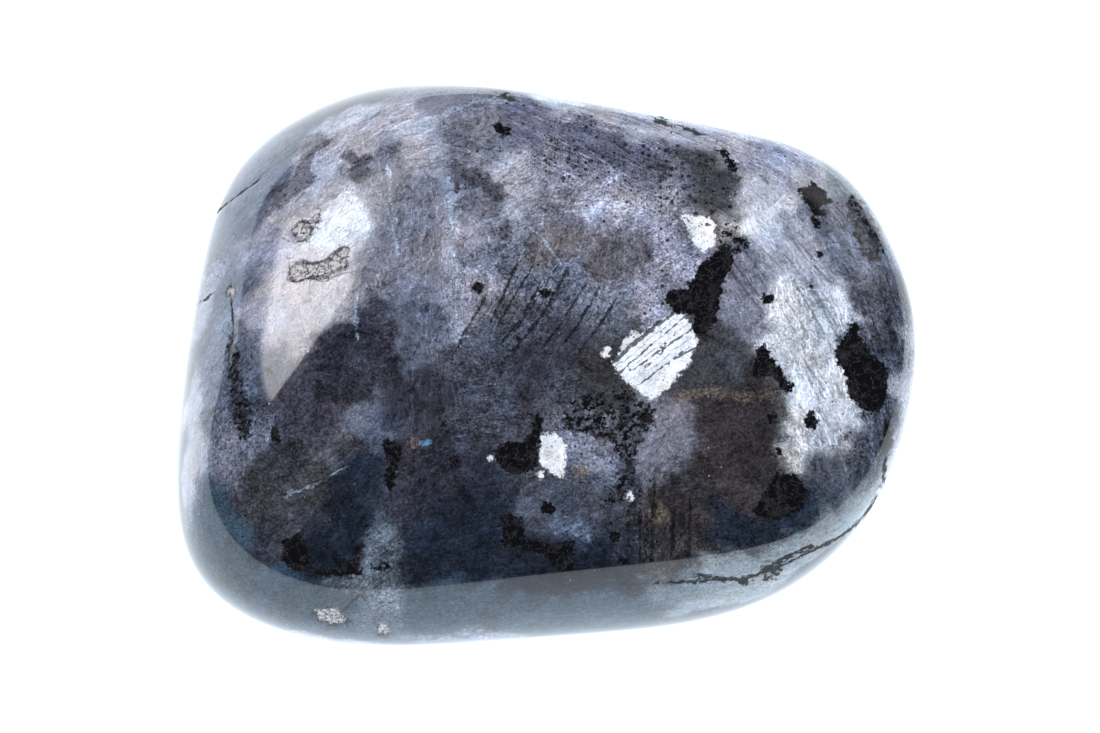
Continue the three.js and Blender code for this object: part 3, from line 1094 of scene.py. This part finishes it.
    def _patch_gap(self, kind: Inclusion) -> np.ndarray:
        """Signed distances to the patches and dots of a kind.

        Args:
            kind: the kind of inclusion.

        Returns:
            Each vertex's distance in mm, below 0 inside.
        """
        gap = np.full(len(self.pixels), np.inf)
        for outline in PATCHES.get(kind, ()):
            gap = np.minimum(gap, self._outline_gap(outline))
        for dot in DOTS.get(kind, ()):
            away = np.hypot(*(self.pixels - np.array(dot.middle)).T)
            gap = np.minimum(gap, away - dot.radius)
        return gap / self.view.pixels_per_mm

    def _inclusions(self, mesh: bpy.types.Mesh) -> dict[Inclusion, np.ndarray]:
        """Stores the signed distance to the nearest inclusion of each kind.

        Args:
            mesh: the mesh that keeps the fields.

        Returns:
            Each kind's distances in mm, below 0 inside.
        """
        unseen = (1.0 - smooth(0.02, 0.1, self.facing)) * self.far
        gaps = {}
        for kind in Inclusion:
            if kind in LINES:
                gaps[kind] = self._line_gap(mesh, kind) + unseen
            else:
                gaps[kind] = np.minimum(self._patch_gap(kind) + unseen, self.far)
                self._number(mesh, kind.value, gaps[kind])
        return gaps

    def _sink(self, mesh: bpy.types.Mesh, gaps: dict[Inclusion, np.ndarray]) -> None:
        """Sinks the pits and cracks into the mesh, with a broken floor.

        Args:
            mesh: the stone's mesh.
            gaps: the distances in mm to each kind of inclusion.
        """
        rough = np.array([noise.noise(Vector(p) * 2.6) for p in self.points])
        pit = 1.0 - smooth(-self.pit_edge, self.pit_edge * 0.4, gaps[Inclusion.PIT] + 0.1 * rough)
        crack = 1.0 - smooth(-0.05, 0.25, gaps[Inclusion.CRACK])
        depth = pit * self.pit_depth * (0.75 + 0.6 * rough) + crack * self.crack_depth
        moved = self.points - self.normals * depth[:, None]
        moved[:, 2] = np.maximum(moved[:, 2], 0.0)
        mesh.vertices.foreach_set("co", (moved * MM).ravel())
        mesh.update()


# The finish


class Pattern(Enum):
    """The patterns that the feldspar's texture is built up from."""

    CLOUD = "soft clouds"
    PATCH = "crisp patches"
    VEIN = "thin veins"


@dataclass(frozen=True)
class Layer:
    """One layer of the feldspar's texture.

    scale is its features per mm and detail is how many finer ones lie over them. trait is the
    roughness of clouds, the level of patches or the width of veins. stops is how far the layer
    lightens the grain, or darkens it below 0. flows tells whether it follows the stone's flow.
    """

    place: str
    pattern: Pattern
    scale: float
    detail: float
    trait: float
    stops: float
    flows: bool = True


CLOUDS = (
    Layer("broad clouds", Pattern.CLOUD, 0.4, 10, 0.76, 9.8),
    Layer("broad dark patches", Pattern.PATCH, 0.5, 8, 0.07, -0.75),
    Layer("small dark patches", Pattern.PATCH, 1.1, 7, 0.13, -1.5),
    Layer("light flecks", Pattern.PATCH, 1.9, 6, 0.14, 1.3),
    Layer("dark crumbs", Pattern.PATCH, 3.3, 5, 0.12, -1.3, flows=False),
    Layer("dark veins", Pattern.VEIN, 0.55, 6, 0.022, -1.0),
    Layer("light hairs", Pattern.VEIN, 1.2, 5, 0.022, 0.35),
)

LAMELLAE = (
    Layer("lamellae", Pattern.CLOUD, 1.2, 8, 0.78, 6.5),
    Layer("fine lamellae", Pattern.CLOUD, 5.5, 3, 0.9, 3.6),
)


@dataclass(frozen=True)
class Coat:
    """A mineral laid over the feldspar: its colour, its strength, and how ragged its edge is.

    ragged is a factor on the stone's ragged edges, and soft is the edge's half width in mm.
    """

    kind: Inclusion
    colour: Colour
    share: float
    ragged: float
    soft: float


COATS = (
    Coat(Inclusion.SMOKY, (72, 68, 78), 0.68, 1.0, 0.1),
    Coat(Inclusion.RUST, (152, 134, 118), 0.45, 2.2, 0.2),
    Coat(Inclusion.WHITE, (250, 248, 254), 1.0, 1.0, 0.07),
    Coat(Inclusion.PEPPERED, (50, 49, 54), 0.6, 1.6, 0.12),
)


def paint(colour: Colour) -> tuple[float, ...]:
    """A display colour as a socket's value, in linear light."""
    return (*linear(colour), 1.0)


@dataclass(frozen=True)
class StoneBench(Bench):
    """A bench with the patterns that the stone's finish is made of, laid out in mm."""

    place: Socket

    def field(self, name: str, output: str = "Fac") -> Socket:
        """Reads a field of the mesh."""
        return self.add("ShaderNodeAttribute", attribute_name=name, attribute_type="GEOMETRY").outputs[output]

    def blend(self, share: Value, under: Value, over: Value) -> Socket:
        """Mixes two colours.

        Args:
            share: how much of the upper colour shows.
            under: the lower colour.
            over: the upper colour.

        Returns:
            The mixed colour.
        """
        node = self.add("ShaderNodeMix", data_type="RGBA")
        for name, value in (("Factor", share), ("A", under), ("B", over)):
            self.feed(node.inputs[name], value)
        return node.outputs["Result"]

    def total(self, *terms: tuple[Value, float]) -> Socket:
        """Adds up values.

        Args:
            terms: each value with its weight.

        Returns:
            The sum.
        """
        total: Value = 0.0
        for value, weight in terms:
            total = self.math("MULTIPLY_ADD", value, weight, total)
        return total

    def noise(self, scale: float, detail: float, roughness: float = 0.5,
              at: Value | None = None) -> bpy.types.Node:
        """Adds a Noise Texture.

        Args:
            scale: its features per mm.
            detail: how many finer layers it has.
            roughness: how strong the finer layers are.
            at: where it is read, or None for the stone's own place.

        Returns:
            The node.
        """
        node = self.add("ShaderNodeTexNoise")
        at = self.place if at is None else at
        for name, value in (("Vector", at), ("Scale", scale), ("Detail", detail), ("Roughness", roughness)):
            self.feed(node.inputs[name], value)
        return node

    def cloud(self, scale: float, detail: float, roughness: float = 0.6, at: Value | None = None) -> Socket:
        """Soft clouds, centred on 0."""
        return self.math("SUBTRACT", self.noise(scale, detail, roughness, at).outputs[0], 0.5)

    def patches(self, scale: float, detail: float, level: float = 0.0, at: Value | None = None) -> Socket:
        """Crisp-edged patches where a cloud is above a level: 1 in them and 0 outside."""
        return self.step(self.cloud(scale, detail, 0.65, at), level - 0.02, level + 0.02)

    def veins(self, scale: float, detail: float, width: float = 0.022, at: Value | None = None) -> Socket:
        """Thin wandering veins: 1 on them and 0 off them."""
        return self.step(self.math("ABSOLUTE", self.cloud(scale, detail, 0.6, at)), width, width * 0.1)

    def layer(self, layer: Layer, at: Value) -> tuple[Socket, float]:
        """Adds one layer of the texture.

        Args:
            layer: the layer.
            at: where it is read.

        Returns:
            The layer's pattern and its weight in stops.
        """
        patterns = {Pattern.CLOUD: self.cloud, Pattern.PATCH: self.patches, Pattern.VEIN: self.veins}
        return patterns[layer.pattern](layer.scale, layer.detail, layer.trait, at), layer.stops

    def dots(self, scale: float, radius: Value, share: float = 0.7) -> Socket:
        """Small round specks, one at most in each cell.

        Args:
            scale: cells per mm.
            radius: the largest speck's radius as a share of a cell.
            share: the share of cells that have a speck.

        Returns:
            1 on a speck and 0 off it.
        """
        node = self.add("ShaderNodeTexVoronoi", feature="F1")
        self.feed(node.inputs["Vector"], self.place)
        self.feed(node.inputs["Scale"], scale)
        lot = self.add("ShaderNodeSeparateColor")
        self.feed(lot.inputs[0], node.outputs["Color"])
        size = self.math("MULTIPLY_ADD", lot.outputs[0], 1.0 / share, 1.0 - 1.0 / share)
        past = self.math("SUBTRACT", node.outputs["Distance"], self.times(radius, size))
        return self.step(past, 0.04, -0.04)

    def mask(self, kind: Inclusion, ragged: Value, soft: float) -> Socket:
        """Where an inclusion lies: 1 inside its ragged edge and 0 outside."""
        return self.step(self.math("ADD", self.field(kind.value), ragged), soft, -soft)

    def line(self, kind: Inclusion, ragged: Value, gaps: Value) -> Socket:
        """Where a thin line runs, from the distance across it in half widths.

        Args:
            kind: the kind of line.
            ragged: what roughens its edges, in mm.
            gaps: what thins it out in places.

        Returns:
            1 on the line and 0 off it.
        """
        wide = self.math("ABSOLUTE", self.math("MULTIPLY_ADD", ragged, 6.0, self.field(kind.value)))
        wide = self.math("MULTIPLY_ADD", gaps, 9.0, wide)
        return self.times(self.step(wide, 1.7, 0.8), self.field(kind.value + "_near"))

    def drawn_out(self, axis: Value, pull: float) -> Socket:
        """The stone's place drawn out along an axis.

        Args:
            axis: the direction that a pattern on it runs in.
            pull: the share of its change along the axis that is taken away.

        Returns:
            The drawn out place, in mm.
        """
        along = self.times(self.vector("DOT_PRODUCT", self.place, axis), pull)
        return self.vector("SUBTRACT", self.place, self.vector("SCALE", axis, scale=along))


@dataclass(frozen=True)
class PolishedLarvikite:
    """The stone's finish: its grains' colours with their texture, under a clear polish."""

    light_level: float = 0.85
    refraction: float = 1.55
    polish_roughness: float = 0.05
    broken_roughness: float = 0.7
    cast: tuple[float, float, float] = (0.92, 1.0, 1.05)
    drift: float = 0.3
    black: Colour = (11, 12, 17)
    black_sheen: Colour = (38, 36, 41)
    black_hairs: Colour = (112, 110, 118)
    white: Colour = (250, 248, 254)
    crumbs: Colour = (50, 49, 54)
    # painted sheen: the colour of the schiller's blue flash
    painted_flash: Colour = (120, 190, 240)
    pale_line: Colour = (170, 180, 198)
    scratch_slant: tuple[float, float, float] = (0.55, -0.35, 0.2)

    def material(self) -> bpy.types.Material:
        """Builds the finish.

        Returns:
            The stone's material.
        """
        material = bpy.data.materials.new(SLOT)
        material.use_nodes = True
        tree = material.node_tree
        tree.nodes.clear()
        plain = Bench(tree)
        metres = plain.add("ShaderNodeTexCoord").outputs["Object"]
        bench = StoneBench(tree, plain.vector("SCALE", metres, scale=1 / MM))
        fine = bench.cloud(2.8, 8, 0.72)
        ragged = bench.times(fine, 1.35)
        broken = self._broken(bench, ragged)
        shader = bench.add("ShaderNodeBsdfPrincipled")
        bench.feed(shader.inputs["Base Color"], self._colour(bench, ragged, fine))
        bench.feed(shader.inputs["Roughness"],
                   bench.math("MULTIPLY_ADD", broken, self.broken_roughness, self.polish_roughness))
        bench.feed(shader.inputs["IOR"], self.refraction)
        bench.feed(shader.inputs["Normal"], self._bump(bench, broken))
        bench.feed(bench.add("ShaderNodeOutputMaterial").inputs["Surface"], shader.outputs[0])
        return material

    def _shade(self, bench: StoneBench, streak: Value, mottle: Value, fine: Value) -> Socket:
        """How much lighter or darker each spot is than its grain, in stops.

        Args:
            bench: the finish's nodes.
            streak: how strongly the lamellae show.
            mottle: how strongly the clouds show.
            fine: a fine texture that is shared with the edges.

        Returns:
            The shade, 0 for the grain's own colour.
        """
        axis = bench.field("grain_axis", "Vector")
        across = bench.drawn_out(axis, 0.975)
        slant = bench.vector("NORMALIZE", bench.vector("ADD", axis, self.scratch_slant))
        bend = bench.vector("SCALE", bench.noise(0.35, 3).outputs["Color"], scale=3.2)
        flow = bench.vector("ADD", bench.place, bend)
        lamellae = bench.total(*(bench.layer(layer, across) for layer in LAMELLAE))
        scratches = bench.total((bench.veins(1.3, 3, at=across), 1.0),
                                (bench.veins(0.9, 3, at=bench.drawn_out(slant, 0.97)), -1.0))
        clouds = bench.total(*(bench.layer(layer, flow if layer.flows else bench.place) for layer in CLOUDS),
                             (fine, 4.4))
        frost = bench.cloud(6.5, 3, 0.95)
        power = bench.times(bench.math("ADD", clouds, 0.25), mottle)
        power = bench.math("MULTIPLY_ADD", lamellae, streak, power)
        power = bench.math("MULTIPLY_ADD", scratches, bench.math("MULTIPLY_ADD", streak, 1.3, 0.3), power)
        power = bench.math("MULTIPLY_ADD", frost, bench.math("MULTIPLY_ADD", mottle, 10.0, 1.6), power)
        return bench.math("MULTIPLY_ADD", bench.math("MAXIMUM", power, 0.0), -0.3, power)

    def _cast(self, bench: StoneBench) -> Socket:
        """A gentle drift of the hue from warm to cool.

        Args:
            bench: the finish's nodes.

        Returns:
            What the colour is multiplied by.
        """
        hue = bench.cloud(0.4, 1, 0.5)
        red, green, blue = self.cast
        return bench.join(bench.math("MULTIPLY_ADD", hue, self.drift, red), green,
                          bench.math("MULTIPLY_ADD", hue, -self.drift, blue))

    def _colour(self, bench: StoneBench, ragged: Value, fine: Value) -> Socket:
        """The feldspar's colours, with the crystals, dark minerals, lines and specks on them.

        Args:
            bench: the finish's nodes.
            ragged: what roughens the edges, in mm.
            fine: a fine texture that is shared with the edges.

        Returns:
            The stone's colour.
        """
        streak, mottle, specks = bench.split(bench.field("grain_traits", "Vector"))
        # the grains' colours, some with painted sheen in them
        colour = bench.field("grain_colour_and_sheen", "Vector")
        pale = bench.line(Inclusion.PALE_LINE, ragged, bench.cloud(0.9, 4))
        colour = bench.blend(bench.times(pale, 0.6), colour, paint(self.pale_line))
        masks = {}
        for coat in COATS:
            masks[coat.kind] = bench.mask(coat.kind, bench.times(ragged, coat.ragged), coat.soft)
            colour = bench.blend(bench.times(masks[coat.kind], coat.share), colour, paint(coat.colour))
        white = masks[Inclusion.WHITE]
        shade = self._shade(bench, streak, mottle, fine)
        shade = bench.times(shade, bench.math("MULTIPLY_ADD", white, -0.6, 1.0))
        shade = bench.math("MULTIPLY_ADD", white, 0.2, shade)
        gain = bench.math("DIVIDE", bench.math("POWER", 2.0, shade), self.light_level)
        colour = bench.vector("MULTIPLY", bench.vector("SCALE", colour, scale=gain), self._cast(bench))
        black = self._black(bench)
        colour = self._marks(bench, colour, black, ragged, masks)
        colour = self._pits(bench, colour, ragged)
        colour = self._specks(bench, colour, black, specks, ragged, masks)
        return self._black_minerals(bench, colour, black, ragged)

    def _black(self, bench: StoneBench) -> Socket:
        """The black minerals' own colour, with dull patches and fine pale hairs.

        Args:
            bench: the finish's nodes.

        Returns:
            The colour.
        """
        black = bench.blend(bench.patches(1.1, 8, 0.06), paint(self.black), paint(self.black_sheen))
        hairs = bench.times(bench.veins(1.7, 5, 0.014), 0.4)
        return bench.blend(hairs, black, paint(self.black_hairs))

    def _marks(self, bench: StoneBench, colour: Value, black: Value, ragged: Value,
               masks: dict[Inclusion, Socket]) -> Socket:
        """Lays the peppered grains, the dark lines and the cracks over the feldspar. The cracks' near black
        is partly painted shade in their hollows.

        Args:
            bench: the finish's nodes.
            colour: the feldspar's colour.
            black: the black minerals' colour.
            ragged: what roughens the edges, in mm.
            masks: where the coats lie.

        Returns:
            The colour with the marks on it.
        """
        pepper = bench.times(masks[Inclusion.PEPPERED], bench.patches(3.4, 6))
        colour = bench.blend(pepper, colour, black)
        gaps = bench.cloud(1.9, 4, 0.7)
        # the dark lines, and the cracks painted near black: partly painted shade in the cracks' hollows
        for kind, share in ((Inclusion.DARK_LINE, 0.85), (Inclusion.CRACK, 0.92)):
            colour = bench.blend(bench.times(bench.line(kind, ragged, gaps), share), colour, black)
        return colour

    def _pits(self, bench: StoneBench, colour: Value, ragged: Value) -> Socket:
        """Lays the pits' pale crumbled floors over the rest.

        Args:
            bench: the finish's nodes.
            colour: the colour so far.
            ragged: what roughens the edges, in mm.

        Returns:
            The colour with the pits on it.
        """
        pit = bench.mask(Inclusion.PIT, ragged, 0.06)
        colour = bench.blend(bench.times(pit, 0.95), colour, paint(self.white))
        crumbs = bench.times(pit, bench.patches(4.5, 4, 0.05))
        colour = bench.blend(bench.times(crumbs, 0.4), colour, paint(self.crumbs))
        wider = bench.mask(Inclusion.PIT, bench.math("SUBTRACT", ragged, 0.2), 0.06)
        return bench.blend(bench.times(bench.veins(1.7, 4, 0.035), wider), colour, paint(self.black))

    def _specks(self, bench: StoneBench, colour: Value, black: Value, specks: Value, ragged: Value,
                masks: dict[Inclusion, Socket]) -> Socket:
        """Scatters black seeds, dust, painted glints and a painted blue flash of schiller over the stone.

        Args:
            bench: the finish's nodes.
            colour: the colour so far.
            black: the black minerals' colour.
            specks: how much dust the grain has.
            ragged: what roughens the edges, in mm.
            masks: where the coats lie.

        Returns:
            The colour with the specks on it.
        """
        seeds = bench.times(masks[Inclusion.SMOKY], bench.patches(3.4, 6))
        seeds = bench.times(seeds, bench.patches(2.2, 5, 0.03))
        colour = bench.blend(bench.times(seeds, 0.75), colour, black)
        dust = bench.math("MAXIMUM", bench.dots(3.0, bench.times(specks, 0.6)),
                          bench.dots(6.0, bench.times(specks, 0.55)))
        colour = bench.blend(bench.times(dust, 0.85), colour, black)
        # painted glints: tiny white specks that stand for sparkle off the polish
        colour = bench.blend(bench.times(bench.dots(1.4, 0.07, 0.35), 0.8), colour, paint(self.white))
        # painted sheen: the blue flash of schiller
        painted_flash = bench.times(bench.mask(Inclusion.FLASH, ragged, 0.12), 0.85)
        return bench.blend(painted_flash, colour, paint(self.painted_flash))

    def _black_minerals(self, bench: StoneBench, colour: Value, black: Value, ragged: Value) -> Socket:
        """Lays the black minerals over all, and clots of them over the hidden sides.

        Args:
            bench: the finish's nodes.
            colour: the colour so far.
            black: the black minerals' colour.
            ragged: what roughens the edges, in mm.

        Returns:
            The stone's colour.
        """
        clots = bench.math("SUBTRACT", 0.12, bench.cloud(0.33, 3, 0.5))
        seen = bench.math("SUBTRACT", 1.0, bench.field("hidden"))
        clot_gap = bench.math("MULTIPLY_ADD", seen, 5.0, bench.times(clots, 9.0))
        gap = bench.math("MINIMUM", bench.field(Inclusion.BLACK.value), clot_gap)
        return bench.blend(bench.step(bench.math("ADD", gap, ragged), 0.04, -0.04), colour, black)

    def _broken(self, bench: StoneBench, ragged: Value) -> Socket:
        """Where the polish is broken, by a pit or a crack.

        Args:
            bench: the finish's nodes.
            ragged: what roughens the edges, in mm.

        Returns:
            1 where it is broken and 0 where it is whole.
        """
        pit = bench.mask(Inclusion.PIT, bench.times(ragged, 0.8), 0.08)
        crack = bench.line(Inclusion.CRACK, ragged, bench.cloud(1.9, 4, 0.7))
        return bench.math("MAXIMUM", bench.times(pit, 0.8), crack)

    def _bump(self, bench: StoneBench, broken: Value) -> Socket:
        """Broken floors in the pits and cracks, under an otherwise even polish.

        Args:
            bench: the finish's nodes.
            broken: where the polish is broken.

        Returns:
            The surface's normal.
        """
        floor = bench.times(bench.cloud(5.5, 4, 0.7), broken)
        bump = bench.add("ShaderNodeBump")
        bench.feed(bump.inputs["Strength"], 1.0)
        bench.feed(bump.inputs["Distance"], MM)
        bench.feed(bump.inputs["Height"], bench.math("MULTIPLY_ADD", broken, -0.1, bench.times(floor, 0.2)))
        return bump.outputs[0]


# The studio


@dataclass(frozen=True)
class SoftBox:
    """A soft box in the room: where it stands (degrees) and how bright it looks.

    Its half sizes and its soft edge are shares of its distance. flare is how much its one side
    opens towards the top.
    """

    name: str
    azimuth: float
    elevation: float
    half_width: float
    half_height: float
    edge: float
    radiance: float
    colour: Colour
    flare: float = 0.0

    def glow(self, bench: Bench, towards: Value) -> Socket:
        """What the box adds to the room's light.

        Args:
            bench: the room's nodes.
            towards: the direction that is looked in.

        Returns:
            The box's light in that direction.
        """
        out, side = direction(self.azimuth, self.elevation), direction(self.azimuth + 90, 0)
        depth = bench.vector("DOT_PRODUCT", towards, tuple(out))
        across, rise = (bench.math("DIVIDE", bench.vector("DOT_PRODUCT", towards, tuple(axis)), depth)
                        for axis in (side, np.cross(out, side)))
        opening = bench.times(rise, self.flare)
        aside = bench.math("ABSOLUTE", bench.math("SUBTRACT", across, opening))
        level = bench.math("GREATER_THAN", depth, 0.05)
        for away, half in ((bench.math("ABSOLUTE", rise), self.half_height),
                           (bench.math("SUBTRACT", aside, opening), self.half_width)):
            level = bench.times(level, bench.step(away, half + self.edge, half - self.edge))
        light = tuple(channel * self.radiance for channel in linear(self.colour))
        return bench.vector("SCALE", light, scale=level)


@dataclass
class Studio:
    """A white floor that glows a little, and a dim room with soft boxes round the stone."""

    floor_size: float = 6.0
    floor_drop: float = 0.02
    floor_paint: tuple[float, ...] = (0.8, 0.8, 0.8, 1.0)
    floor_light: tuple[float, ...] = (0.84, 0.96, 1.05, 1.0)
    floor_glow: float = 1.2
    room_level: float = 0.07
    backdrop_level: float = 1.2
    fill_watts: float = 6.732
    fill_size: float = 1.2
    fill_place: tuple[float, float, float] = (0.1, 0.1, 1.0)
    boxes: tuple[SoftBox, ...] = (
        SoftBox("window", 141.1, 37, 0.104, 0.54, 0.026, 5.3, (254, 250, 252), 0.18),
        SoftBox("side window", 36, 42, 0.16, 0.3, 0.1, 1.0, (250, 249, 255)),
    )

    def floor(self) -> None:
        """Adds the floor, a hair below the stone."""
        half = self.floor_size / 2
        mesh = bpy.data.meshes.new("floor")
        corners = [(-half, -half, 0), (half, -half, 0), (half, half, 0), (-half, half, 0)]
        mesh.from_pydata(corners, [], [(0, 1, 2, 3)])
        floor = bpy.data.objects.new("floor", mesh)
        floor.location.z = -self.floor_drop * MM
        bpy.context.scene.collection.objects.link(floor)
        material = bpy.data.materials.new("pale_floor")
        material.use_nodes = True
        shader = material.node_tree.nodes["Principled BSDF"]
        shader.inputs["Base Color"].default_value = self.floor_paint
        shader.inputs["Roughness"].default_value = 0.9
        shader.inputs["Emission Color"].default_value = self.floor_light
        shader.inputs["Emission Strength"].default_value = self.floor_glow
        mesh.materials.append(material)

    def room(self) -> None:
        """Adds a dim room with its soft boxes, which the camera itself sees as white."""
        world = bpy.data.worlds.new("room")
        bpy.context.scene.world = world
        world.use_nodes = True
        bench = Bench(world.node_tree)
        towards = bench.add("ShaderNodeTexCoord").outputs["Generated"]
        light: Value = (self.room_level, self.room_level, self.room_level * 1.06)
        for box in self.boxes:
            light = bench.vector("ADD", box.glow(bench, towards), light)
        dim = world.node_tree.nodes["Background"]
        bench.feed(dim.inputs["Color"], light)
        white = bench.add("ShaderNodeBackground")
        bench.feed(white.inputs["Strength"], self.backdrop_level)
        mix = bench.add("ShaderNodeMixShader")
        bench.feed(mix.inputs[0], bench.add("ShaderNodeLightPath").outputs["Is Camera Ray"])
        bench.feed(mix.inputs[1], dim.outputs[0])
        bench.feed(mix.inputs[2], white.outputs[0])
        bench.feed(world.node_tree.nodes["World Output"].inputs["Surface"], mix.outputs[0])

    def fill(self) -> None:
        """Adds a wide light overhead that brightens the stone and isn't mirrored in its polish."""
        data = bpy.data.lights.new("fill", "AREA")
        data.shape = "DISK"
        data.size = self.fill_size
        data.energy = self.fill_watts
        light = bpy.data.objects.new("fill", data)
        light.location = self.fill_place
        light.rotation_euler = Vector(self.fill_place).to_track_quat("Z", "Y").to_euler()
        light.visible_glossy = False
        bpy.context.scene.collection.objects.link(light)

    def build(self) -> None:
        """Sets up the floor, the room and the light."""
        self.floor()
        self.room()
        self.fill()
        bpy.context.scene.view_settings.view_transform = "Standard"


def main() -> None:
    """Builds the stone and the studio."""
    logging.basicConfig(level=logging.INFO, format="%(name)s: %(message)s")
    view = PhotoView()
    view.add_camera()
    low, high = (np.array(corner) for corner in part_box(NODE))
    form = PebbleForm(size=tuple(float(side) for side in high - low))
    pebble = form.build("pebble", PolishedLarvikite().material())
    Minerals(view).dress(pebble)
    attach(pebble, "root")
    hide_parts(NODE)
    LOG.info("pebble: %d faces", len(pebble.data.polygons))
    Studio().build()


if __name__ == "__main__":
    main()
